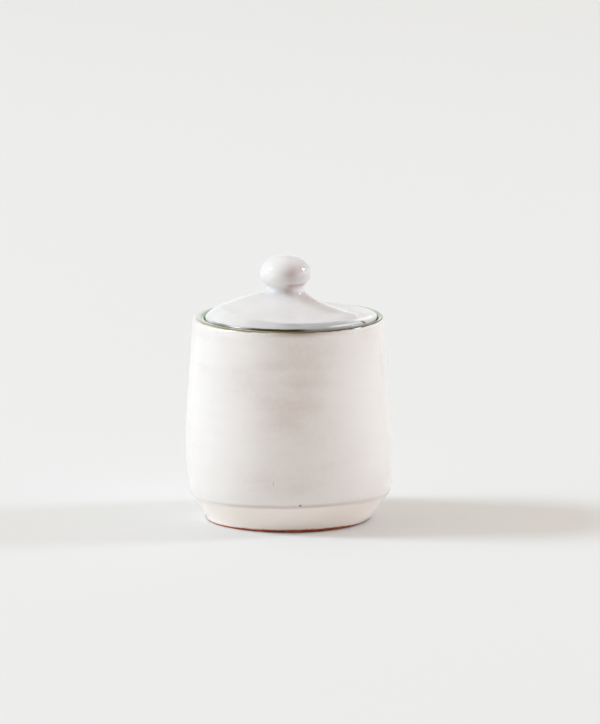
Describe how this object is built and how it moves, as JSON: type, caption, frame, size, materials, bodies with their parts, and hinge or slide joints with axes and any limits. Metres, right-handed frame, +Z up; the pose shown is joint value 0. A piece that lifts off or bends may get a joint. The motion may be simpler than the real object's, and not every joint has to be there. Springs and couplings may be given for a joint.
{
  "type": "sugar canister",
  "caption": "Small hand-thrown earthenware jar with a loose knobbed lid that sits inside its rim, for keeping sugar on a table or shelf.",
  "frame": {"origin": "centre of the base, on the surface that the jar stands on", "axes": "+Z up along the turning axis, through the middle of the knob"},
  "size_m": [0.1, 0.1, 0.1281],
  "materials": {
    "jar_glaze": "glossy off-white glaze over red clay, green at the rim, bare clay at the foot",
    "lid_glaze": "glossy off-white glaze, faintly pink where it is thin over red clay"
  },
  "bodies": {
    "root": {"jar": "jar_glaze", "lid": "lid_glaze"}
  },
  "joints": []
}
